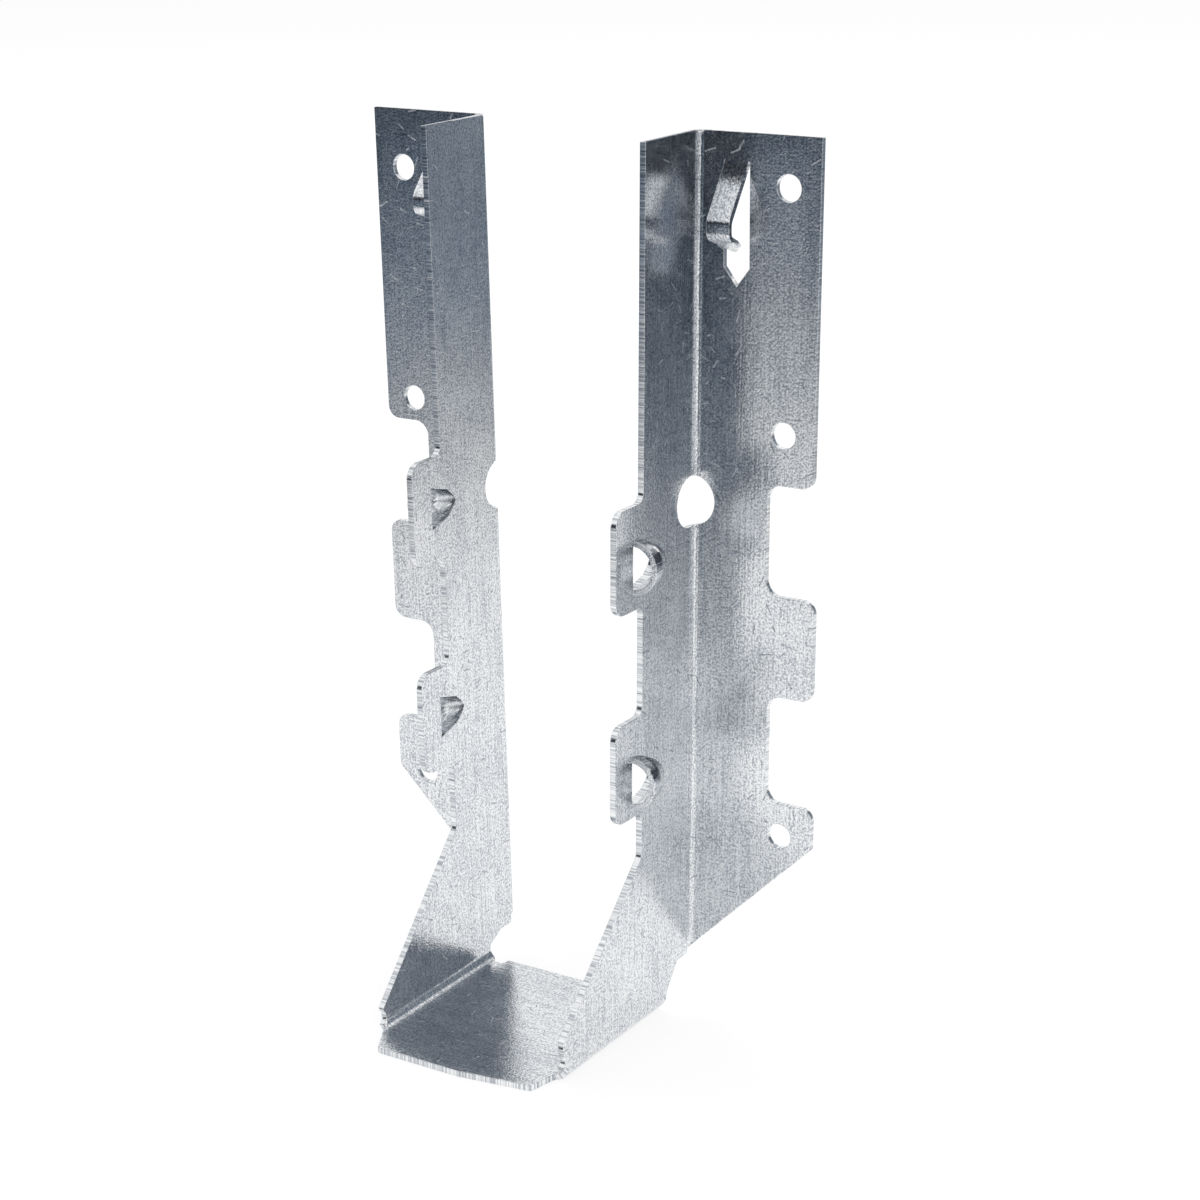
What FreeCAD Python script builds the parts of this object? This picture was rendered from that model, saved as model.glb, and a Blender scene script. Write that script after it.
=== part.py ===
import FreeCAD, Part
import math
import os
import Sketcher

# Joist hanger folded from one sheet of galvanised steel
# +X is the joist's right-hand side, +Y points back at the header, +Z is up
# X = 0 is halfway between the two sides and Z = 0 is the underside of the seat
# The sketches measure Y from the header face, where the flanges' backs lie
# The finished body is moved so that Y = 0 is halfway between header face and seat front

os.makedirs("parts", exist_ok=True)
doc = FreeCAD.newDocument("JoistHanger")


# Driving dimensions in millimetres, one row each: alias, value, meaning
rows = [
    ("joist_gap", "39.7", "clear width between the sides at the seat"),
    ("plate", "1.2", "thickness of the sheet"),
    ("rise_all", "166.8", "height of the sides and flanges"),
    ("lean_rate", "0.0149", "how far each side opens outward per unit of height"),
    ("seat_bend", "2.0", "inner radius of the bend between seat and side"),
    ("flange_bend", "1.0", "inner radius of the bend between side and flange"),
    ("seat_reach", "52.6", "header face to the front edge of the seat, left part"),
    ("seat_skew", "2.2", "how far the front edge stands back at its right end"),
    ("skew_start", "2.0", "middle to where the front edge starts to slant back"),
    ("seat_back", "9.2", "header face to the back edge of the seat"),
    ("relief_back", "11.0", "header face to the bottom of the corner reliefs"),
    ("relief_near", "16.0", "middle to the inner edge of the corner reliefs"),
    ("relief_far", "18.7", "middle to the outer edge of the corner reliefs"),
    ("relief_rise", "3.3", "height up to which the bends end with the seat's outline"),
    ("relief_round", "0.9", "inner corner radius of the corner reliefs"),
    ("relief_lip", "0.5", "outer corner radius of the corner reliefs"),
    ("seat_corner", "1.0", "corner radius along the front edge of the seat"),
    ("side_reach", "19.5", "header face to the front edge of the sides"),
    ("lip_reach", "28.6", "header face to the front edge of the side tabs"),
    ("lip_round", "2.8", "outer corner radius of the side tabs"),
    ("lip_root", "1.8", "inner corner radius of the side tabs"),
    ("nick_radius", "1.5", "radius of the small nick at the foot of each slope"),
    ("nick_depth", "0.7", "depth of that nick"),
    ("heel_back", "9.7", "header face to the bottom of the sides' back edge"),
    ("heel_run", "3.8", "length of the slanted edge below each flange bend"),
    ("heel_round", "1.5", "radius at the top of that edge"),
    ("heel_lift", "0.4", "how far that edge ends above the seat's corner reliefs"),
    ("heel_root", "0.5", "radius at the bottom of that edge"),
    ("flange_edge", "45.2", "middle to the edge of the flange's upper part at seat level"),
    ("ear_edge", "46.0", "middle to the edge of its middle tab at seat level"),
    ("wing_edge", "46.6", "middle to the edge of its lower tab at seat level"),
    ("waist_upper", "36.0", "middle to the upper waist of the flange"),
    ("waist_lower", "36.9", "middle to the lower waist of the flange"),
    ("flange_round", "2.4", "outer corner radius of the flange edge"),
    ("flange_root", "2.8", "inner corner radius of the flange edge"),
    ("foot_round", "1.0", "radius at the top of the flange's sloping edge"),
    ("nail_radius", "2.4", "radius of the nail holes"),
    ("nail_column", "38.9", "middle to the four upper nail holes at seat level"),
    ("nail_inset", "6.7", "edge of the lower tab in to its nail hole"),
    ("eye_radius", "4.8", "radius of the hole punched across each flange bend"),
    ("slot_column", "28.65", "middle to the prong and its slot at seat level"),
    ("slot_wide", "5.1", "width of the slot each prong leaves"),
    ("slot_drop", "5.0", "top of the flange down to the top of the slot"),
    ("slot_straight", "18.7", "length of the slot's straight sides"),
    ("slot_taper", "3.3", "length of the slot's pointed end"),
    ("prong_wide", "4.6", "width of the prong"),
    ("prong_overlap", "0.7", "how far the prong's root lies above the slot"),
    ("prong_bow_drop", "10.1", "prong's root down to its first bend"),
    ("prong_elbow_drop", "3.3", "prong's first bend down to its second"),
    ("prong_tip_drop", "3.0", "prong's second bend down to its tip"),
    ("prong_taper", "2.5", "length of the prong's pointed end"),
    ("prong_sheet", "1.1", "thickness of the bent prong"),
    ("prong_tip_reach", "2.1", "header face to the front of the tip"),
    ("prong_bow_round", "2.2", "middle radius of the prong's first bend"),
    ("prong_elbow_round", "1.35", "middle radius of the prong's second bend"),
    ("prong_blunt", "0.55", "half the width left at the tip"),
    ("dome_front", "22.5", "header face to the open front of the nail domes"),
    ("dome_back", "13.2", "header face to the back end of the nail domes"),
    ("dome_radius", "5.0", "radius of the dome at its open front"),
    ("dome_wall", "1.0", "wall of the dome"),
    ("dome_sunk", "0.3", "how far the dome's axis lies inside the side's outer face"),
    ("overrun", "6.0", "how far a cutting outline runs past the metal"),
    ("clearance", "0.2", "gap by which a cut misses the metal beside it"),
    ("right_shelf", "104.5", "bottom of the right flange's upper part"),
    ("right_ear_top", "83.7", "top of the right flange's middle tab"),
    ("right_ear_foot", "64.4", "bottom of the right flange's middle tab"),
    ("right_wing_tall", "7.9", "height of the right lower tab's straight edge"),
    ("right_slope_foot", "11", "middle to where the right flange's slope would meet seat level"),
    ("right_stop_inset", "6.6", "seat's front edge back to the end of the right side's slope"),
    ("right_corner_near", "16.9", "middle to where the right front corner starts to turn back"),
    ("right_corner_far", "18.2", "middle to where the right front corner has turned back"),
    ("right_prong_reach", "7.4", "header face to the middle line of the right prong's bends"),
    ("right_lip_one_top", "103.5", "top of the right side's upper tab"),
    ("right_lip_one_foot", "84.1", "bottom of the right side's upper tab"),
    ("right_lip_two_top", "63.4", "top of the right side's lower tab"),
    ("right_lip_two_foot", "44.3", "bottom of the right side's lower tab"),
    ("right_knee", "35.4", "top of the right side's slope"),
    ("right_slope_end", "8.9", "height of the lower end of the right side's slope"),
    ("right_nick_drop", "3.8", "that end down to the middle of the nick"),
    ("right_bend_inset", "8.4", "seat's front edge back to the front end of the right bend"),
    ("right_heel", "8.9", "bottom of the right flange bend"),
    ("right_nail_drop", "9.0", "top of the right flange down to the first nail hole"),
    ("right_nail_middle", "113.8", "right flange, second nail hole"),
    ("right_nail_lift", "1.4", "top of the right flange's slope up to the third nail hole"),
    ("right_eye", "99.6", "height of the right bend hole"),
    ("right_eye_shift", "1.9", "how far the right bend hole lies toward the front"),
    ("right_dome_upper", "92.1", "height of the right side's upper dome"),
    ("right_dome_lower", "51", "height of the right side's lower dome"),
    ("left_shelf", "106.9", "bottom of the left flange's upper part"),
    ("left_ear_top", "86.2", "top of the left flange's middle tab"),
    ("left_ear_foot", "66", "bottom of the left flange's middle tab"),
    ("left_wing_tall", "11.1", "height of the left lower tab's straight edge"),
    ("left_slope_foot", "12.4", "middle to where the left flange's slope would meet seat level"),
    ("left_stop_inset", "7.5", "seat's front edge back to the end of the left side's slope"),
    ("left_corner_near", "15.9", "middle to where the left front corner starts to turn back"),
    ("left_corner_far", "19.6", "middle to where the left front corner has turned back"),
    ("left_prong_reach", "8.9", "header face to the middle line of the left prong's bends"),
    ("left_lip_one_top", "106.4", "top of the left side's upper tab"),
    ("left_lip_one_foot", "86.7", "bottom of the left side's upper tab"),
    ("left_lip_two_top", "65.8", "top of the left side's lower tab"),
    ("left_lip_two_foot", "45.9", "bottom of the left side's lower tab"),
    ("left_knee", "32.2", "top of the left side's slope"),
    ("left_slope_end", "4.9", "height of the lower end of the left side's slope"),
    ("left_nick_drop", "1.9", "that end down to the middle of the nick"),
    ("left_bend_inset", "7.0", "seat's front edge back to the front end of the left bend"),
    ("left_heel", "5.7", "bottom of the left flange bend"),
    ("left_nail_drop", "10.9", "top of the left flange down to the first nail hole"),
    ("left_nail_middle", "111.4", "left flange, second nail hole"),
    ("left_nail_lift", "-0.1", "top of the left flange's slope up to the third nail hole"),
    ("left_eye", "96.6", "height of the left bend hole"),
    ("left_eye_shift", "-0.4", "how far the left bend hole lies toward the front"),
    ("left_dome_upper", "96.9", "height of the left side's upper dome"),
    ("left_dome_lower", "56.1", "height of the left side's lower dome"),
]
sheet = doc.addObject("Spreadsheet::Sheet", "Sizes")
for number, (alias, value, meaning) in enumerate(rows, start=1):
    sheet.set("A%d" % number, meaning)
    sheet.set("B%d" % number, value)
    sheet.setAlias("B%d" % number, alias)
doc.recompute()


class Size:
    """A number together with the sheet formula that gives it."""

    def __init__(self, value, text):
        self.value = value
        self.text = text

    def join(self, other, sign, value):
        return Size(value, "(%s %s %s)" % (self.text, sign, other.text))

    def __add__(self, other):
        other = as_size(other)
        return self.join(other, "+", self.value + other.value)

    def __sub__(self, other):
        other = as_size(other)
        return self.join(other, "-", self.value - other.value)

    def __mul__(self, other):
        other = as_size(other)
        return self.join(other, "*", self.value * other.value)

    def __truediv__(self, other):
        other = as_size(other)
        return self.join(other, "/", self.value / other.value)

    def __neg__(self):
        return Size(-self.value, "(0 - %s)" % self.text)


def as_size(item):
    if isinstance(item, Size):
        return item
    return Size(float(item), "%g" % item)


def cell(alias):
    return Size(float(getattr(sheet, alias)), "Sizes.%s" % alias)


def bind(item, prop, size):
    item.setExpression(prop, as_size(size).text)


# Sketch on one of the body's planes, moved off the plane along its normal
def new_sketch(body, name, role, off=None):
    sketch = body.newObject("Sketcher::SketchObject", name)
    plane = [f for f in body.Origin.OriginFeatures if f.Role == role][0]
    sketch.AttachmentSupport = [(plane, "")]
    sketch.MapMode = "FlatFace"
    if off is not None:
        sketch.AttachmentOffset = FreeCAD.Placement(
            FreeCAD.Vector(0, 0, off.value), FreeCAD.Rotation())
        bind(sketch, "AttachmentOffset.Base.z", off)
    return sketch


# Rules of one sketch, gathered first and then added together
class Rules:
    def __init__(self, sketch):
        self.sketch = sketch
        self.first = sketch.ConstraintCount
        self.rules = []
        self.sizes = []

    def add(self, *rule):
        self.rules.append(Sketcher.Constraint(*rule))

    def measure(self, size, *rule):
        self.sizes.append((self.first + len(self.rules), size))
        self.add(*rule, size.value)

    def place(self, geometry, point, across, up):
        self.measure(across, "DistanceX", -1, 1, geometry, point)
        self.measure(up, "DistanceY", -1, 1, geometry, point)

    def finish(self):
        self.sketch.addConstraint(self.rules)
        for at, size in self.sizes:
            bind(self.sketch, "Constraints[%d]" % at, size)


# Closed outline of straight lines; each corner is (across, up) or (across, up, radius)
def outline(sketch, corners):
    points = [(as_size(c[0]), as_size(c[1])) for c in corners]
    radii = [as_size(c[2]) if len(c) > 2 else None for c in corners]
    flat = [FreeCAD.Vector(px.value, py.value, 0) for px, py in points]
    count = len(corners)
    enter = []
    leave = []
    arcs = []
    for i in range(count):
        here = flat[i]
        if radii[i] is None:
            enter.append(here)
            leave.append(here)
            arcs.append(None)
            continue
        back = (flat[i - 1] - here).normalize()
        ahead = (flat[(i + 1) % count] - here).normalize()
        half = back.getAngle(ahead) / 2
        reach = radii[i].value / math.tan(half)
        middle = (back + ahead).normalize()
        centre = here + middle * (radii[i].value / math.sin(half))
        first = here + back * reach
        last = here + ahead * reach
        enter.append(first)
        leave.append(last)
        turn = back.x * ahead.y - back.y * ahead.x
        begin, finish = (first, last) if turn < 0 else (last, first)
        low = math.atan2(begin.y - centre.y, begin.x - centre.x)
        high = math.atan2(finish.y - centre.y, finish.x - centre.x)
        if high < low:
            high += 2 * math.pi
        circle = Part.Circle(centre, FreeCAD.Vector(0, 0, 1), radii[i].value)
        arcs.append((Part.ArcOfCircle(circle, low, high), turn < 0))
    lines = []
    for i in range(count):
        after = (i + 1) % count
        lines.append(sketch.addGeometry(Part.LineSegment(leave[i], enter[after])))
    rules = Rules(sketch)
    for i in range(count):
        before = lines[i - 1]
        after = lines[i]
        if arcs[i] is None:
            rules.add("Coincident", before, 2, after, 1)
            rules.place(after, 1, *points[i])
            continue
        arc, forward = arcs[i]
        bend = sketch.addGeometry(arc)
        mark = sketch.addGeometry(Part.Point(flat[i]), True)
        start, end = (1, 2) if forward else (2, 1)
        rules.add("Tangent", before, 2, bend, start)
        rules.add("Tangent", bend, end, after, 1)
        rules.measure(radii[i], "Radius", bend)
        rules.add("PointOnObject", mark, 1, before)
        rules.add("PointOnObject", mark, 1, after)
        rules.place(mark, 1, *points[i])
    rules.finish()


def circle(sketch, across, up, radius):
    across = as_size(across)
    up = as_size(up)
    centre = FreeCAD.Vector(across.value, up.value, 0)
    shape = Part.Circle(centre, FreeCAD.Vector(0, 0, 1), radius.value)
    ring = sketch.addGeometry(shape)
    rules = Rules(sketch)
    rules.measure(radius, "Radius", ring)
    rules.place(ring, 3, across, up)
    rules.finish()


# Features in the order they are made, with whether each adds or removes metal
history = []


def pad(body, name, sketch, length, both=False, slant=None):
    feature = body.newObject("PartDesign::Pad", name)
    feature.Profile = sketch
    feature.Type = "Length"
    feature.Length = length.value
    bind(feature, "Length", length)
    if both:
        feature.SideType = "Symmetric"
    if slant is not None:
        feature.UseCustomVector = True
        feature.Direction = FreeCAD.Vector(slant.value, 0, 1)
        bind(feature, "Direction.x", slant)
    sketch.Visibility = False
    history.append((feature, True))


def pocket(body, name, sketch, length=None, reverse=False):
    feature = body.newObject("PartDesign::Pocket", name)
    feature.Profile = sketch
    if length is None:
        feature.Type = "ThroughAll"
    else:
        feature.Type = "Length"
        feature.Length = length.value
        bind(feature, "Length", length)
    feature.Reversed = reverse
    sketch.Visibility = False
    history.append((feature, False))


plate = cell("plate")
rise = cell("rise_all")
lean = cell("lean_rate")
half_gap = cell("joist_gap") / 2
half_out = half_gap + plate
seat_bend = cell("seat_bend")
flange_bend = cell("flange_bend")
corner = flange_bend + plate
seat_reach = cell("seat_reach")
relief_rise = cell("relief_rise")
wing_edge = cell("wing_edge")
bend_line = half_out + flange_bend
overrun = cell("overrun")
clearance = cell("clearance")

body = doc.addObject("PartDesign::Body", "joist_hanger")
body.Label = "joist_hanger"
doc.recompute()

# Seat and both sides as one channel; the sides lean outward from the seat bends
channel = new_sketch(body, "ChannelSection", "XZ_Plane", corner)
outline(channel, [
    (-half_out - lean * rise, rise),
    (-half_out, 0, seat_bend + plate),
    (half_out, 0, seat_bend + plate),
    (half_out + lean * rise, rise),
    (half_gap + lean * rise, rise),
    (half_gap + lean * plate, plate, seat_bend),
    (-half_gap - lean * plate, plate, seat_bend),
    (-half_gap - lean * rise, rise),
])
pad(body, "Channel", channel, seat_reach - corner)


# The sloping front edge of a side ends this far from the header face
def slope_stop(name):
    return seat_reach - cell(name + "_stop_inset")


# Front edge of a side: two tabs for the nail domes, then the slope down to the seat
def front_edge(name, label, outward):
    side = cell("side_reach")
    lip = cell("lip_reach")
    stop = slope_stop(name)
    slope_end = cell(name + "_slope_end")
    out_round = cell("lip_round")
    in_round = cell("lip_root")
    sketch = new_sketch(body, label + "FrontEdge", "YZ_Plane")
    outline(sketch, [
        (-side, rise + overrun),
        (-side, cell(name + "_lip_one_top"), in_round),
        (-lip, cell(name + "_lip_one_top"), out_round),
        (-lip, cell(name + "_lip_one_foot"), out_round),
        (-side, cell(name + "_lip_one_foot"), in_round),
        (-side, cell(name + "_lip_two_top"), in_round),
        (-lip, cell(name + "_lip_two_top"), out_round),
        (-lip, cell(name + "_lip_two_foot"), out_round),
        (-side, cell(name + "_lip_two_foot"), in_round),
        (-side, cell(name + "_knee"), in_round),
        (-stop, slope_end),
        (-stop, relief_rise),
        (-seat_reach - overrun, relief_rise),
        (-seat_reach - overrun, rise + overrun),
    ])
    pocket(body, label + "FrontCut", sketch, None, outward)


front_edge("right", "Right", True)
front_edge("left", "Left", False)

# Front edge of the seat: slanted at the right, with corners that turn back into the bends
seat_front = new_sketch(body, "SeatFrontEdge", "XY_Plane")
right_stop = seat_reach - cell("right_bend_inset")
left_stop = seat_reach - cell("left_bend_inset")
seat_corner = cell("seat_corner")
outline(seat_front, [
    (-half_out - overrun, -left_stop),
    (-cell("left_corner_far"), -left_stop, seat_corner),
    (-cell("left_corner_near"), -seat_reach, seat_corner),
    (cell("skew_start"), -seat_reach),
    (cell("right_corner_near"), cell("seat_skew") - seat_reach, seat_corner),
    (cell("right_corner_far"), -right_stop, seat_corner),
    (half_out + overrun, -right_stop),
    (half_out + overrun, -seat_reach - overrun),
    (-half_out - overrun, -seat_reach - overrun),
])
pocket(body, "SeatFrontCut", seat_front, relief_rise, True)

# Back edge of the seat with a rounded relief in each corner
seat_rear = new_sketch(body, "SeatBackEdge", "XY_Plane")
back = cell("seat_back")
relief = cell("relief_back")
relief_near = cell("relief_near")
relief_far = cell("relief_far")
heel_back = cell("heel_back")
relief_round = cell("relief_round")
relief_lip = cell("relief_lip")
outline(seat_rear, [
    (-half_out - overrun, -heel_back),
    (-relief_far, -heel_back, relief_lip),
    (-relief_far, -relief, relief_round),
    (-relief_near, -relief, relief_round),
    (-relief_near, -back, relief_lip),
    (relief_near, -back, relief_lip),
    (relief_near, -relief, relief_round),
    (relief_far, -relief, relief_round),
    (relief_far, -heel_back, relief_lip),
    (half_out + overrun, -heel_back),
    (half_out + overrun, overrun),
    (-half_out - overrun, overrun),
])
pocket(body, "SeatBackCut", seat_rear, relief_rise, True)


# Foot of the flange bend and the relief below it
def heel(name, label, outward):
    top = cell(name + "_heel")
    sketch = new_sketch(body, label + "Heel", "YZ_Plane")
    outline(sketch, [
        (overrun, top),
        (cell("heel_run") - heel_back, top, cell("heel_round")),
        (-heel_back, relief_rise + cell("heel_lift"), cell("heel_root")),
        (-heel_back, relief_rise),
        (overrun, relief_rise),
    ])
    pocket(body, label + "HeelCut", sketch, None, outward)


heel("right", "Right", True)
heel("left", "Left", False)


# Nick where the sloping front edge runs into the seat bend
def nick(name, label, outward):
    radius = cell("nick_radius")
    across = cell("nick_depth") - slope_stop(name) - radius
    up = cell(name + "_slope_end") - cell(name + "_nick_drop")
    sketch = new_sketch(body, label + "Nick", "YZ_Plane")
    circle(sketch, across, up, radius)
    pocket(body, label + "NickCut", sketch, None, outward)


nick("right", "Right", True)
nick("left", "Left", False)


# Quarter bend from a side into its flange, running up along the leaning side
def flange_corner(name, label, sign):
    foot = cell(name + "_heel")
    sketch = new_sketch(body, label + "BendSection", "XY_Plane", foot)
    shift = lean * foot
    centre_x = (bend_line + shift) * sign
    centre_y = -corner
    outer = corner
    inner = flange_bend
    centre = FreeCAD.Vector(centre_x.value, centre_y.value, 0)
    up = FreeCAD.Vector(0, 0, 1)
    low, high = (math.pi / 2, math.pi) if sign > 0 else (0, math.pi / 2)
    big = Part.ArcOfCircle(Part.Circle(centre, up, outer.value), low, high)
    small = Part.ArcOfCircle(Part.Circle(centre, up, inner.value), low, high)
    wide = sketch.addGeometry(big)
    tight = sketch.addGeometry(small)
    flange_end = sketch.addGeometry(Part.LineSegment(
        centre + FreeCAD.Vector(0, outer.value, 0),
        centre + FreeCAD.Vector(0, inner.value, 0)))
    side_end = sketch.addGeometry(Part.LineSegment(
        centre - FreeCAD.Vector(sign * outer.value, 0, 0),
        centre - FreeCAD.Vector(sign * inner.value, 0, 0)))
    top_point, side_point = (1, 2) if sign > 0 else (2, 1)
    rules = Rules(sketch)
    rules.add("Coincident", wide, 3, tight, 3)
    rules.add("Coincident", wide, top_point, flange_end, 1)
    rules.add("Coincident", tight, top_point, flange_end, 2)
    rules.add("Coincident", wide, side_point, side_end, 1)
    rules.add("Coincident", tight, side_point, side_end, 2)
    rules.add("Vertical", flange_end)
    rules.add("Vertical", wide, 3, flange_end, 1)
    rules.add("Horizontal", side_end)
    rules.add("Horizontal", wide, 3, side_end, 1)
    rules.measure(outer, "Radius", wide)
    rules.measure(inner, "Radius", tight)
    rules.place(wide, 3, centre_x, centre_y)
    rules.finish()
    pad(body, label + "Bend", sketch, rise - foot, slant=lean * sign)


flange_corner("right", "Right", 1)
flange_corner("left", "Left", -1)


# The bend ends along the same slope as the flange's lower edge
def bend_slope(name, label, sign):
    slope_foot = cell(name + "_slope_foot")
    inner = half_gap - plate
    outer = bend_line + plate
    sketch = new_sketch(body, label + "BendSlope", "XZ_Plane")
    inner_rise = inner - slope_foot
    outer_rise = outer - slope_foot
    outline(sketch, [
        ((inner + lean * inner_rise) * sign, inner_rise),
        ((outer + lean * outer_rise) * sign, outer_rise),
        ((outer + lean * outer_rise) * sign, relief_rise),
        ((inner + lean * inner_rise) * sign, relief_rise),
    ])
    pocket(body, label + "BendSlopeCut", sketch, corner, True)


bend_slope("right", "Right", 1)
bend_slope("left", "Left", -1)


# Flange outline: wide upper part, two waists, two tabs, then the slope to the bend
def flange(name, label, sign):
    flange_edge = cell("flange_edge")
    ear_edge = cell("ear_edge")
    upper = cell("waist_upper")
    lower = cell("waist_lower")
    out_round = cell("flange_round")
    in_round = cell("flange_root")
    slope_foot = cell(name + "_slope_foot")
    slope_top = wing_edge - slope_foot
    wing_top = slope_top + cell(name + "_wing_tall")

    def at(across, up, radius=None):
        spot = ((across + lean * up) * sign, up)
        return spot if radius is None else spot + (radius,)

    sketch = new_sketch(body, label + "FlangeOutline", "XZ_Plane")
    outline(sketch, [
        at(bend_line, rise),
        at(flange_edge, rise),
        at(flange_edge, cell(name + "_shelf"), out_round),
        at(upper, cell(name + "_shelf"), in_round),
        at(upper, cell(name + "_ear_top"), in_round),
        at(ear_edge, cell(name + "_ear_top"), out_round),
        at(ear_edge, cell(name + "_ear_foot"), out_round),
        at(lower, cell(name + "_ear_foot"), in_round),
        at(lower, wing_top, in_round),
        at(wing_edge, wing_top, out_round),
        at(wing_edge, slope_top, cell("foot_round")),
        at(bend_line, bend_line - slope_foot),
    ])
    pad(body, label + "Flange", sketch, plate)


flange("right", "Right", 1)
flange("left", "Left", -1)

# Six nail holes, three in each flange
nails = new_sketch(body, "NailHoles", "XZ_Plane")
nail_radius = cell("nail_radius")
nail_column = cell("nail_column")
nail_outer = wing_edge - cell("nail_inset")
for name, sign in (("right", 1), ("left", -1)):
    slope_top = wing_edge - cell(name + "_slope_foot")
    for across, up in (
        (nail_column, rise - cell(name + "_nail_drop")),
        (nail_column, cell(name + "_nail_middle")),
        (nail_outer, slope_top + cell(name + "_nail_lift")),
    ):
        circle(nails, (across + lean * up) * sign, up, nail_radius)
pocket(body, "NailHoleCut", nails, plate, True)

# A round hole across each flange bend, cut once along X and once along Y
# It lies forward of the bend by its shift, of which the flange shows a third
eye = cell("eye_radius")
half_turn = (flange_bend + plate / 2) * (math.pi / 4)
eye_front = new_sketch(body, "BendHolesFromFront", "XZ_Plane")
for name, label, sign in (("right", "Right", 1), ("left", "Left", -1)):
    up = cell(name + "_eye")
    shift = cell(name + "_eye_shift")
    circle(eye_front, (bend_line - half_turn - shift / 3 + lean * up) * sign, up, eye)
    eye_side = new_sketch(body, label + "BendHoleFromSide", "YZ_Plane")
    circle(eye_side, half_turn - corner - shift, up, eye)
    pocket(body, label + "BendHoleSideCut", eye_side, bend_line + lean * up, sign > 0)
pocket(body, "BendHoleFrontCut", eye_front, corner, True)

# Slots left in the flanges by the two prongs, pointed at the bottom
slots = new_sketch(body, "ProngSlots", "XZ_Plane")
slot_half = cell("slot_wide") / 2
slot_top = rise - cell("slot_drop")
slot_shoulder = slot_top - cell("slot_straight")
slot_point = slot_shoulder - cell("slot_taper")
slot_centre = cell("slot_column") + lean * (slot_top + slot_shoulder) / 2
for sign in (1, -1):
    outline(slots, [
        ((slot_centre - slot_half) * sign, slot_top),
        ((slot_centre + slot_half) * sign, slot_top),
        ((slot_centre + slot_half) * sign, slot_shoulder),
        (slot_centre * sign, slot_point),
        ((slot_centre - slot_half) * sign, slot_shoulder),
    ])
pocket(body, "ProngSlotCut", slots, plate, True)


prong_root = slot_top + cell("prong_overlap")
prong_bow = prong_root - cell("prong_bow_drop")
prong_elbow = prong_bow - cell("prong_elbow_drop")
prong_tip = prong_elbow - cell("prong_tip_drop")
prong_shoulder = prong_tip + cell("prong_taper")
prong_wide = cell("prong_wide")
prong_sheet = cell("prong_sheet")


# Prong: a strip that slants forward from the flange, turns down and then points back
def prong(name, label, sign):
    bow_round = cell("prong_bow_round")
    elbow_round = cell("prong_elbow_round")
    tip_reach = cell("prong_tip_reach")
    half = prong_sheet / 2
    outer = cell(name + "_prong_reach") + half
    inner = outer - prong_sheet
    sketch = new_sketch(body, label + "ProngPath", "YZ_Plane", slot_centre * sign)
    outline(sketch, [
        (clearance - plate, prong_root),
        (-outer, prong_bow, bow_round + half),
        (-outer, prong_elbow, elbow_round + half),
        (-tip_reach, prong_tip),
        (half - tip_reach, prong_tip + prong_sheet),
        (-inner, prong_elbow + half, elbow_round - half),
        (-inner, prong_bow - half, bow_round - half),
        (-clearance, prong_root - prong_sheet),
    ])
    pad(body, label + "Prong", sketch, prong_wide, both=True)


prong("right", "Right", 1)
prong("left", "Left", -1)

# Both prongs end in a point
prong_half = prong_wide / 2
prong_blunt = cell("prong_blunt")
past_side = (prong_half - prong_blunt) / 4
past_end = (prong_shoulder - prong_tip) / 4
points = new_sketch(body, "ProngPoints", "XZ_Plane", plate + clearance)
for sign in (1, -1):
    for side in (1, -1):
        middle = slot_centre * sign
        near_tip = middle + (prong_blunt - past_side) * side
        outer_side = middle + (prong_half + past_side) * side
        outline(points, [
            (near_tip, prong_tip - past_end),
            (outer_side, prong_shoulder + past_end),
            (outer_side, prong_tip - past_end),
        ])
pocket(body, "ProngPointCut", points, cell("left_prong_reach") + prong_sheet, True)


# Rounded cone that ends on the axis at the rear, its rings as shares of length and radius
def cone(front, rear, radius, rings):
    corners = [(0, -front)]
    for along, wide in rings:
        corners.append((radius * wide, (front - rear) * along - front))
    return corners


# Nail dome: half of a cone pushed outward from the side, open to the front
def dome(name, label, level, sign):
    up = cell("%s_dome_%s" % (name, level))
    front = cell("dome_front")
    rear = cell("dome_back")
    radius = cell("dome_radius")
    wall = cell("dome_wall")
    base = (half_out - cell("dome_sunk") + lean * up) * sign
    title = label + "Dome" + level.capitalize()

    def turn(part, corners, kind, angle, grows):
        sketch = new_sketch(body, title + part, "XY_Plane", up)
        sketch.AttachmentOffset = FreeCAD.Placement(
            FreeCAD.Vector(base.value, 0, up.value), FreeCAD.Rotation())
        bind(sketch, "AttachmentOffset.Base.x", base)
        outline(sketch, [(as_size(across) * sign, along) for across, along in corners])
        feature = body.newObject(kind, title + part + "Turn")
        feature.Profile = sketch
        feature.ReferenceAxis = (sketch, ["V_Axis"])
        feature.Angle = angle
        feature.Midplane = True
        sketch.Visibility = False
        history.append((feature, grows))

    shell = cone(front, rear, radius, ((0, 1), (0.35, 0.9), (0.75, 0.55), (1, 0)))
    hollow = cone(front + clearance, rear + wall, radius - wall, ((0, 1), (0.6, 0.68), (1, 0)))
    turn("Shell", shell, "PartDesign::Revolution", 180, True)
    turn("Hollow", hollow, "PartDesign::Groove", 360, False)


for name, label, sign in (("right", "Right", 1), ("left", "Left", -1)):
    for level in ("upper", "lower"):
        dome(name, label, level, sign)

body.Placement = FreeCAD.Placement(
    FreeCAD.Vector(0, seat_reach.value / 2, 0), FreeCAD.Rotation())
bind(body, "Placement.Base.y", seat_reach / 2)
doc.recompute()
for item in doc.Objects:
    if "Invalid" in item.State or "Error" in item.State:
        raise RuntimeError("%s is not valid" % item.Label)

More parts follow.
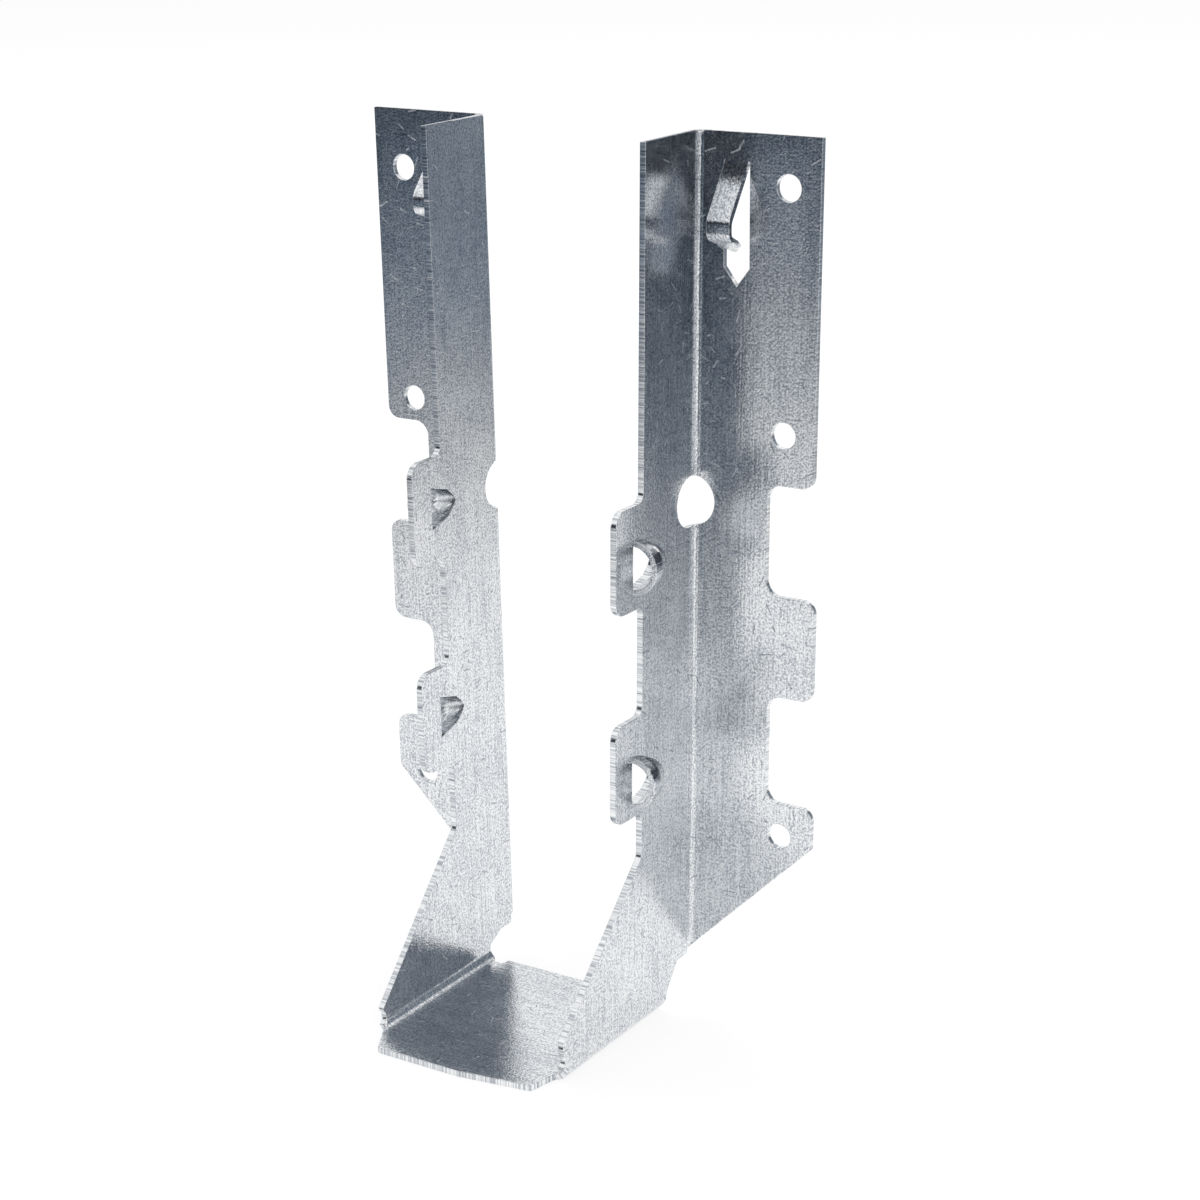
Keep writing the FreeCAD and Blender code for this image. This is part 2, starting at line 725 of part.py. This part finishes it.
# Each feature must add or remove metal as intended
volume = 0.0
for feature, grows in history:
    if feature.Shape.isNull():
        raise RuntimeError("%s has no shape" % feature.Label)
    change = feature.Shape.Volume - volume
    if grows != (change > 0):
        raise RuntimeError("%s changed the volume by %.3f" % (feature.Label, change))
    volume = feature.Shape.Volume
if body.Shape.isNull() or not body.Shape.isValid() or len(body.Shape.Solids) != 1:
    raise RuntimeError("the hanger is not one valid solid")
body.Shape.exportStep("parts/joist_hanger.step")
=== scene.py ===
import math

import bmesh
import bpy
from mathutils import Matrix, Vector
from mathutils.bvhtree import BVHTree


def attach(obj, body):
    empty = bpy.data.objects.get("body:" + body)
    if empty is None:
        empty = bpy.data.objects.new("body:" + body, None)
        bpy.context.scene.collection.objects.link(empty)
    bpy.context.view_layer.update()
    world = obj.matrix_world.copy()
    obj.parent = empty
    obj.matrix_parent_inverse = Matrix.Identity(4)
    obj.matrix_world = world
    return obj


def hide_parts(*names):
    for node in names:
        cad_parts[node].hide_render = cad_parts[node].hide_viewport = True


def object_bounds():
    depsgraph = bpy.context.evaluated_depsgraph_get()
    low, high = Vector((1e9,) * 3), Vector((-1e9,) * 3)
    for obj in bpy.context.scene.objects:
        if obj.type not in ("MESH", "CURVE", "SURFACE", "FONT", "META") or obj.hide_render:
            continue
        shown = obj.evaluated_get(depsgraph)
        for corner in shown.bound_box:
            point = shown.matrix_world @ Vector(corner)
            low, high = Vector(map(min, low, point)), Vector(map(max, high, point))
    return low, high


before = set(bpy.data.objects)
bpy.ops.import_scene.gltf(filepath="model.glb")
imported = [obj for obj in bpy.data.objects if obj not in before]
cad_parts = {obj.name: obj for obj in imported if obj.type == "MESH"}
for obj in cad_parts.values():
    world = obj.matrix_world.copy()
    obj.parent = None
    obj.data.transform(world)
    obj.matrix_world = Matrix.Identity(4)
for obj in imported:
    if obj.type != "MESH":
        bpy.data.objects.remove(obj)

cad_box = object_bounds()

# The folded sheet: one blank of galvanised steel, punched and sheared flat, then
# bent into a seat, two sides and two flanges. The copy keeps the frame's shape,
# rounds the sheared edges a little and carries a map of the blank laid out flat.
MM = 0.001
PLATE = 1.2 * MM
JOIST_GAP = 39.7 * MM
SEAT_BEND = 2.0 * MM
FLANGE_BEND = 1.0 * MM
LEAN = 0.0149
EDGE_ROUND = 0.14 * MM
BLANK_SPAN = 400 * MM
HEADER = cad_box[1].y
TAB_BACK = -12 * MM
SLACK = 0.05 * MM
SAME_POINT = 0.002 * MM
SLIVER = 0.001 * MM ** 2
SAME_PLANE = math.radians(0.6)
SOFT_CREASE = math.radians(30)
CUT_CORNER = math.radians(50)

half_out = JOIST_GAP / 2 + PLATE
seat_turn = SEAT_BEND + PLATE
seat_flat = half_out - seat_turn
seat_middle = SEAT_BEND + PLATE / 2
flange_turn = FLANGE_BEND + PLATE
flange_middle = FLANGE_BEND + PLATE / 2


def on_blank(point):
    """Place of a point on the flat blank: from the middle of the seat up a side, and along it."""
    across = abs(point.x)
    along = point.y - HEADER
    rise = across
    if point.z >= seat_turn:
        rise = seat_flat + seat_middle * math.pi / 2 + point.z - seat_turn
    elif across > seat_flat:
        rise = seat_flat + seat_middle * math.atan2(across - seat_flat, seat_turn - point.z)
    bend_x = half_out + FLANGE_BEND + LEAN * point.z
    if across > bend_x and point.z > seat_turn:
        along = flange_middle * math.pi / 2 - flange_turn + across - bend_x
    elif along > -flange_turn and point.z > seat_turn:
        along = flange_middle * math.atan2(along + flange_turn, bend_x - across) - flange_turn
    return math.copysign(rise, point.x), along


def is_sheared(face):
    """Whether a face is a cut through the sheet, seen by how it stands to the sheet there."""
    centre = face.calc_center_median()
    across = abs(centre.x) - LEAN * max(centre.z - seat_turn, 0)
    along = centre.y - HEADER
    if centre.z < seat_turn:
        lift = Vector((0, 0, 1))
        if across > seat_flat:
            lift = Vector((centre.x - math.copysign(seat_flat, centre.x), 0, centre.z - seat_turn))
        return abs(face.normal.dot(lift.normalized())) < 0.5
    if across > half_out + FLANGE_BEND and along > -flange_turn:
        if along < -PLATE - SLACK:
            return abs(face.normal.x) > 0.7
        return abs(face.normal.y) < 0.5
    if across > half_out + SLACK and along < -flange_turn:
        return abs(face.normal.x) > 0.7 if along > TAB_BACK else face.normal.y < -0.9
    if along < -flange_turn:
        return abs(face.normal.x) < 0.5
    out = Vector((across - half_out - FLANGE_BEND, along + flange_turn, 0))
    flat = Vector((abs(face.normal.x) * math.copysign(1, face.normal.x * centre.x), face.normal.y, 0))
    return abs(flat.dot(out.normalized())) < 0.5


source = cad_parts["joist_hanger"]
sheet = source.copy()
sheet.data = source.data.copy()
sheet.name = "folded_sheet"
bpy.context.collection.objects.link(sheet)

shape = bmesh.new()
shape.from_mesh(sheet.data)
bmesh.ops.remove_doubles(shape, verts=shape.verts, dist=SAME_POINT)
bmesh.ops.dissolve_limit(
    shape, angle_limit=SAME_PLANE, verts=shape.verts, edges=shape.edges)
surface = BVHTree.FromBMesh(shape)
blank_map = shape.loops.layers.uv.new("blank")
for face in shape.faces:
    face.smooth = True
    face.material_index = 1 if is_sheared(face) else 0
    for loop in face.loops:
        rise, along = on_blank(loop.vert.co)
        loop[blank_map].uv = (0.5 + rise / BLANK_SPAN, 0.5 + along / BLANK_SPAN)
rounded = []
for edge in shape.edges:
    if len(edge.link_faces) != 2:
        continue
    angle = edge.calc_face_angle()
    cuts = {face.material_index for face in edge.link_faces}
    smallest = min(face.calc_area() for face in edge.link_faces)
    edge.smooth = angle < SOFT_CREASE
    if angle > CUT_CORNER and len(cuts) == 2 and smallest > SLIVER:
        rounded.append(edge)
bmesh.ops.bevel(
    shape, geom=rounded, offset=EDGE_ROUND, segments=2, profile=0.5, affect="EDGES",
    clamp_overlap=False, loop_slide=False, material=0)
# A corner that the rounding threw off the sheet goes back to it
for corner in shape.verts:
    on_sheet, _, _, gap = surface.find_nearest(corner.co)
    if gap > EDGE_ROUND / 2:
        corner.co = on_sheet
shape.to_mesh(sheet.data)
shape.free()

weighted = sheet.modifiers.new("flat_faces", "WEIGHTED_NORMAL")
weighted.mode = "FACE_AREA"
weighted.weight = 100
weighted.keep_sharp = False


class Value:
    """A socket in a shader, so that sums on it are written as Python sums."""

    def __init__(self, socket):
        self.socket = socket
        self.tree = socket.id_data

    @staticmethod
    def node(tree, kind, settings, inputs, output=0):
        made = tree.nodes.new(kind)
        for name, setting in settings.items():
            if name == "stops":
                stops = made.color_ramp.elements
                while len(stops) < len(setting):
                    stops.new(1.0)
                for stop, (place, level) in zip(stops, setting):
                    stop.position = place
                    stop.color = (level, level, level, 1)
            else:
                setattr(made, name, setting)
        for name, value in inputs.items():
            if isinstance(value, Value):
                tree.links.new(value.socket, made.inputs[name])
            else:
                made.inputs[name].default_value = value
        return Value(made.outputs[output])

    def also(self, kind, settings, inputs, output=0):
        return Value.node(self.tree, kind, settings, inputs, output)

    def math(self, operation, first, second=0.0):
        return self.also("ShaderNodeMath", {"operation": operation}, {0: first, 1: second})

    def __add__(self, other):
        return self.math("ADD", self, other)

    def __radd__(self, other):
        return self.math("ADD", other, self)

    def __sub__(self, other):
        return self.math("SUBTRACT", self, other)

    def __rsub__(self, other):
        return self.math("SUBTRACT", other, self)

    def __mul__(self, other):
        return self.math("MULTIPLY", self, other)

    def __rmul__(self, other):
        return self.math("MULTIPLY", other, self)

    def __truediv__(self, other):
        return self.math("DIVIDE", self, other)

    def __rtruediv__(self, other):
        return self.math("DIVIDE", other, self)

    def __pow__(self, other):
        return self.math("POWER", self, other)

    def __abs__(self):
        return self.math("ABSOLUTE", self)

    def rise(self, low, high):
        """0 below low, 1 above high and smooth between; the other way round if low is above."""
        return self.also("ShaderNodeMapRange", {"interpolation_type": "SMOOTHSTEP"}, {
            "Value": self, "From Min": low, "From Max": high})

    def blend(self, first, second):
        return self.also("ShaderNodeMix", {"data_type": "RGBA"}, {
            0: self, 6: first, 7: second}, 2)

    def part(self, axis):
        return self.also("ShaderNodeSeparateXYZ", {}, {0: self}, axis)

    def move(self, operation, other):
        return self.also("ShaderNodeVectorMath", {"operation": operation}, {0: self, 1: other})

    def length(self):
        return self.also("ShaderNodeVectorMath", {"operation": "LENGTH"}, {0: self}, "Value")

    def noise(self, size, detail=2.0, rough=0.5, swirl=0.0):
        return self.also("ShaderNodeTexNoise", {"noise_dimensions": "2D"}, {
            "Vector": self, "Scale": 1 / size, "Detail": detail,
            "Roughness": rough, "Distortion": swirl})

    def cells(self, size, output):
        return self.also("ShaderNodeTexVoronoi", {"voronoi_dimensions": "2D"}, {
            "Vector": self, "Scale": 1 / size}, output)


def new_finish(name, metallic):
    finish = bpy.data.materials.new(name)
    finish.use_nodes = True
    skin = finish.node_tree.nodes["Principled BSDF"]
    skin.inputs["Metallic"].default_value = metallic
    return finish, finish.node_tree, skin


def wire(tree, skin, name, value):
    tree.links.new(value.socket, skin.inputs[name])


# The zinc coat: dipped on the coil before punching, so its fine spangle and the mill's
# rolling lines run along the strip and round every bend. Handling has left short nicks.
# Sizes and reliefs are in millimetres, and a tone is how far a pattern shifts the grey.
ZINC_DARK = (0.40, 0.43, 0.47, 1)
ZINC_LIGHT = (0.90, 0.91, 0.92, 1)
SPANGLE = 3.2
MOTTLE = 1.1
GRAIN = 0.42
CLOUD = 15.0
LINE_LONG = 16.0
LINE_THIN = 0.35
NICK_CELL = 6.5
NICK_LONG = 1.0
NICK_THIN = 0.13
NICK_SHARE = 0.6
SMALL_NICK_SIZE = 0.55
SMALL_NICK_SHARE = 0.35
SMALL_NICK_SHIFT = (31.0, 17.0, 0)
MIDDLE_TONE = 0.56
CLOUD_TONE = 0.35
MOTTLE_TONE = 0.8
GRAIN_TONE = 2.2
SPANGLE_TONE = 0.10
LINE_TONE = 0.8
WEAR_TONE = 0.7
ZINC_ROUGH = 0.15
SPANGLE_ROUGH = 0.04
MOTTLE_ROUGH = 0.10
WEAR_ROUGH = 0.2
GRAIN_RELIEF = 0.022
MOTTLE_RELIEF = 0.020
LINE_RELIEF = 0.014
SPANGLE_RELIEF = 0.003
WEAR_RELIEF = 0.035

zinc, tree, skin = new_finish("zinc_coat", 1.0)
flat_map = Value.node(tree, "ShaderNodeUVMap", {"uv_map": "blank"}, {})
blank = flat_map.move("MULTIPLY", (BLANK_SPAN / MM, BLANK_SPAN / MM, 0))
cloud = blank.noise(CLOUD, 3.0)
mottle = blank.noise(MOTTLE, 3.0, 0.6, 0.6)
grain = blank.noise(GRAIN, 2.0, 0.6)
lines = blank.move("MULTIPLY", (1 / LINE_LONG, 1 / LINE_THIN, 0)).noise(1.0, 2.0)
warped = blank.move("ADD", blank.also("ShaderNodeTexNoise", {"noise_dimensions": "2D"}, {
    "Vector": blank, "Scale": 1 / SPANGLE, "Detail": 2.0}, "Color"))
spangle = warped.cells(SPANGLE, "Color").part(0)


def nicks(across, size, share):
    """Short straight marks, one in some of the cells, each turned its own way."""
    centre = across.cells(size, "Position")
    chance = across.cells(size, "Color")
    arm = across.move("SUBTRACT", centre)
    turned = arm.also("ShaderNodeVectorRotate", {"rotation_type": "Z_AXIS"}, {
        "Vector": arm, "Angle": chance.part(0) * 2 * math.pi})
    reach = NICK_LONG * (0.4 + chance.part(1))
    long_way = (abs(turned.part(0)) / reach).rise(1.0, 0.7)
    thin_way = abs(turned.part(1)).rise(NICK_THIN, 0.4 * NICK_THIN)
    return long_way * thin_way * chance.part(2).rise(1 - share, 1.02 - share)


marks = nicks(blank, NICK_CELL, NICK_SHARE)
small_marks = nicks(
    blank.move("ADD", SMALL_NICK_SHIFT), NICK_CELL * SMALL_NICK_SIZE, SMALL_NICK_SHARE)
worn = marks.math("MAXIMUM", marks, small_marks * 0.7)

tone = MIDDLE_TONE + (cloud - 0.5) * CLOUD_TONE + (mottle - 0.5) * MOTTLE_TONE
tone = tone + (grain - 0.5) * GRAIN_TONE + (spangle - 0.5) * SPANGLE_TONE
tone = tone + (lines - 0.5) * LINE_TONE - worn * WEAR_TONE
wire(tree, skin, "Base Color", tone.rise(0.0, 1.0).blend(ZINC_DARK, ZINC_LIGHT))
rough = ZINC_ROUGH + spangle * SPANGLE_ROUGH + (mottle - 0.5) * MOTTLE_ROUGH
wire(tree, skin, "Roughness", rough + worn * WEAR_ROUGH)
height = grain * GRAIN_RELIEF + mottle * MOTTLE_RELIEF + lines * LINE_RELIEF
height = height + spangle * SPANGLE_RELIEF - worn * WEAR_RELIEF
bump = height.also("ShaderNodeBump", {}, {"Strength": 1.0, "Distance": MM, "Height": height})
wire(tree, skin, "Normal", bump)

# The sheared edge: the cut through the sheet, a burnished band and a torn, duller one,
# with thin zinc wiped over it by the punch.
EDGE_DARK = (0.42, 0.43, 0.45, 1)
EDGE_LIGHT = (0.86, 0.87, 0.88, 1)
EDGE_METALLIC = 0.75
TORN = 0.625
FINE = 0.2
EDGE_TONE = 0.7
TORN_TONE = 0.45
FINE_TONE = 0.3
EDGE_ROUGH = 0.40
TORN_ROUGH = 0.3
TORN_RELIEF = 0.010
FINE_RELIEF = 0.006

edge_finish, tree, skin = new_finish("sheared_edge", EDGE_METALLIC)
place = Value.node(tree, "ShaderNodeTexCoord", {}, {}, "Object")
in_mm = place.move("MULTIPLY", (1 / MM, 1 / MM, 1 / MM))
torn = in_mm.also("ShaderNodeTexNoise", {}, {
    "Vector": in_mm, "Scale": 1 / TORN, "Detail": 3.0, "Roughness": 0.6})
fine = in_mm.also("ShaderNodeTexNoise", {}, {
    "Vector": in_mm, "Scale": 1 / FINE, "Detail": 2.0, "Roughness": 0.6})
tone = EDGE_TONE + (torn - 0.5) * TORN_TONE + (fine - 0.5) * FINE_TONE
wire(tree, skin, "Base Color", tone.rise(0.0, 1.0).blend(EDGE_DARK, EDGE_LIGHT))
wire(tree, skin, "Roughness", EDGE_ROUGH + (torn - 0.5) * TORN_ROUGH)
height = torn * TORN_RELIEF + fine * FINE_RELIEF
bump = height.also("ShaderNodeBump", {}, {"Strength": 1.0, "Distance": MM, "Height": height})
wire(tree, skin, "Normal", bump)

sheet.data.materials.clear()
sheet.data.materials.append(zinc)
sheet.data.materials.append(edge_finish)
sheet.parent = None
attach(sheet, "root")
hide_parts("joist_hanger")

# The studio: a plain white floor, two softboxes and a white surround. What the metal
# mirrors is a floor that is bright close by and darker further off, a grey card behind
# the hanger and a dark one in front of it. The glow's reach is given round the circle.
FLOOR_WIDE = 8.0
FLOOR_WHITE = (0.9, 0.9, 0.9, 1)
FLOOR_ROUGH = 0.9
FLOOR_GLOW = 0.8
GLOW_START = 0.20
GLOW_END = 3.5
GLOW_TINT = (0.68, 0.94, 1.30, 1)
GLOW_TINTED = 0.6
GLOW_FALL = 1.3
GLOW_HEIGHT = 0.5 * MM
SEGMENTS = 64
GLOW_REACH = (
    (0.00, 0.26), (0.14, 0.24), (0.17, 0.30), (0.20, 0.33), (0.24, 0.40), (0.30, 0.18),
    (0.33, 0.12), (0.36, 0.12), (0.38, 0.20), (0.40, 0.90), (0.45, 0.90), (0.52, 0.60),
    (0.60, 0.40), (0.66, 0.30), (0.72, 0.32), (0.80, 0.45), (1.00, 0.26))
GREY_CARD = (0.22, 0.25, 0.29, 1)
DARK_CARD = (0.03, 0.035, 0.045, 1)
LAMP_AIM = Vector((0, 0, 0.08))


def add_mesh(name, corners, faces, finish):
    mesh = bpy.data.meshes.new(name)
    mesh.from_pydata(corners, [], faces)
    item = bpy.data.objects.new(name, mesh)
    bpy.context.collection.objects.link(item)
    mesh.materials.append(finish)
    return item


def light_path(tree):
    seen = Value.node(tree, "ShaderNodeLightPath", {}, {}, "Is Camera Ray")
    glossy = seen.also("ShaderNodeLightPath", {}, {}, "Is Glossy Ray")
    through = seen.also("ShaderNodeLightPath", {}, {}, "Is Transmission Ray")
    return seen + glossy + through


def glow_finish(name):
    finish = bpy.data.materials.new(name)
    finish.use_nodes = True
    tree = finish.node_tree
    tree.nodes.clear()
    glow = tree.nodes.new("ShaderNodeEmission")
    output = tree.nodes.new("ShaderNodeOutputMaterial")
    tree.links.new(glow.outputs[0], output.inputs["Surface"])
    return finish, tree, glow


def only_in_metal(item):
    item.visible_camera = False
    item.visible_diffuse = False
    item.visible_shadow = False


floor_finish, tree, skin = new_finish("floor_paint", 0.0)
skin.inputs["Base Color"].default_value = FLOOR_WHITE
skin.inputs["Roughness"].default_value = FLOOR_ROUGH
white = Value.node(tree, "ShaderNodeEmission", {}, {"Color": (1, 1, 1, 1), "Strength": 1.0})
mixed = white.also("ShaderNodeMixShader", {}, {
    0: light_path(tree) * FLOOR_GLOW, 1: Value(skin.outputs[0]), 2: white})
tree.links.new(mixed.socket, tree.nodes["Material Output"].inputs["Surface"])
half = FLOOR_WIDE / 2
floor = add_mesh("floor", [
    (-half, -half, 0), (half, -half, 0), (half, half, 0), (-half, half, 0)],
    [(0, 1, 2, 3)], floor_finish)

far_finish, tree, glow = glow_finish("far_floor")
place = Value.node(tree, "ShaderNodeTexCoord", {}, {}, "Object")
turn = place.math("ARCTAN2", place.part(1), place.part(0)) / (2 * math.pi) + 0.5
reach = turn.also("ShaderNodeValToRGB", {"stops": GLOW_REACH}, {0: turn})
near = reach / place.length()
level = near.math("MINIMUM", near, 1.0) ** GLOW_FALL
tint = level.rise(0.0, GLOW_TINTED).blend(GLOW_TINT, (1, 1, 1, 1))
tree.links.new(tint.socket, glow.inputs["Color"])
tree.links.new(level.socket, glow.inputs["Strength"])
ring = []
for radius in (GLOW_START, GLOW_END):
    for step in range(SEGMENTS):
        angle = 2 * math.pi * step / SEGMENTS
        ring.append((radius * math.cos(angle), radius * math.sin(angle), GLOW_HEIGHT))
quads = []
for step in range(SEGMENTS):
    after = (step + 1) % SEGMENTS
    quads.append((step, after, SEGMENTS + after, SEGMENTS + step))
only_in_metal(add_mesh("far_floor", ring, quads, far_finish))

for name, azimuth, distance, wide, tall, colour in (
        ("grey_card_behind", 57, 1.3, 1.1, 1.3, GREY_CARD),
        ("dark_card_in_front", -90, 2.5, 6.0, 1.0, DARK_CARD)):
    card_finish, tree, glow = glow_finish(name)
    glow.inputs["Color"].default_value = colour
    out = Vector((math.cos(math.radians(azimuth)), math.sin(math.radians(azimuth)), 0))
    aside = Vector((-out.y, out.x, 0)) * wide / 2
    foot = out * distance
    up = Vector((0, 0, tall))
    only_in_metal(add_mesh(
        name, [foot - aside, foot + aside, foot + aside + up, foot - aside + up],
        [(0, 1, 2, 3)], card_finish))


def softbox(name, place, wide, tall, power):
    data = bpy.data.lights.new(name, "AREA")
    data.shape = "RECTANGLE"
    data.size = wide
    data.size_y = tall
    data.energy = power
    lamp = bpy.data.objects.new(name, data)
    lamp.location = place
    lamp.rotation_euler = (LAMP_AIM - Vector(place)).to_track_quat("-Z", "Y").to_euler()
    lamp.visible_camera = False
    lamp.visible_glossy = False
    bpy.context.collection.objects.link(lamp)


softbox("softbox_back_left", (-0.9, 0.8, 1.3), 1.0, 0.8, 10)
softbox("softbox_front_right", (1.1, -0.5, 1.2), 0.9, 0.9, 9)

world = bpy.data.worlds.new("studio")
bpy.context.scene.world = world
world.use_nodes = True
tree = world.node_tree
sky = tree.nodes["Background"]
sky.inputs["Color"].default_value = (1, 1, 1, 1)
sky.inputs["Strength"].default_value = 1.0

# The camera: a pinhole for a square picture, PHOTO pixels wide, with its focal length
# in those pixels and no shift
PHOTO = 1200
SENSOR = 36
FOCAL = 2615.1
EYE = Vector((255.70, -372.79, 227.06)) * MM
CAMERA_RIGHT = Vector((0.8447, 0.5351, -0.0118))
CAMERA_DOWN = Vector((0.1525, -0.2619, -0.9530))
CAMERA_AHEAD = Vector((-0.5130, 0.8032, -0.3028))
camera_data = bpy.data.cameras.new("camera")
camera_data.sensor_width = SENSOR
camera_data.lens = SENSOR * FOCAL / PHOTO
camera_data.clip_start = 0.01
camera = bpy.data.objects.new("camera", camera_data)
bpy.context.collection.objects.link(camera)
turn = Matrix((CAMERA_RIGHT, -CAMERA_DOWN, -CAMERA_AHEAD)).transposed()
camera.matrix_world = Matrix.Translation(EYE) @ turn.to_4x4()
bpy.context.scene.camera = camera

bpy.context.scene.view_settings.view_transform = "Standard"
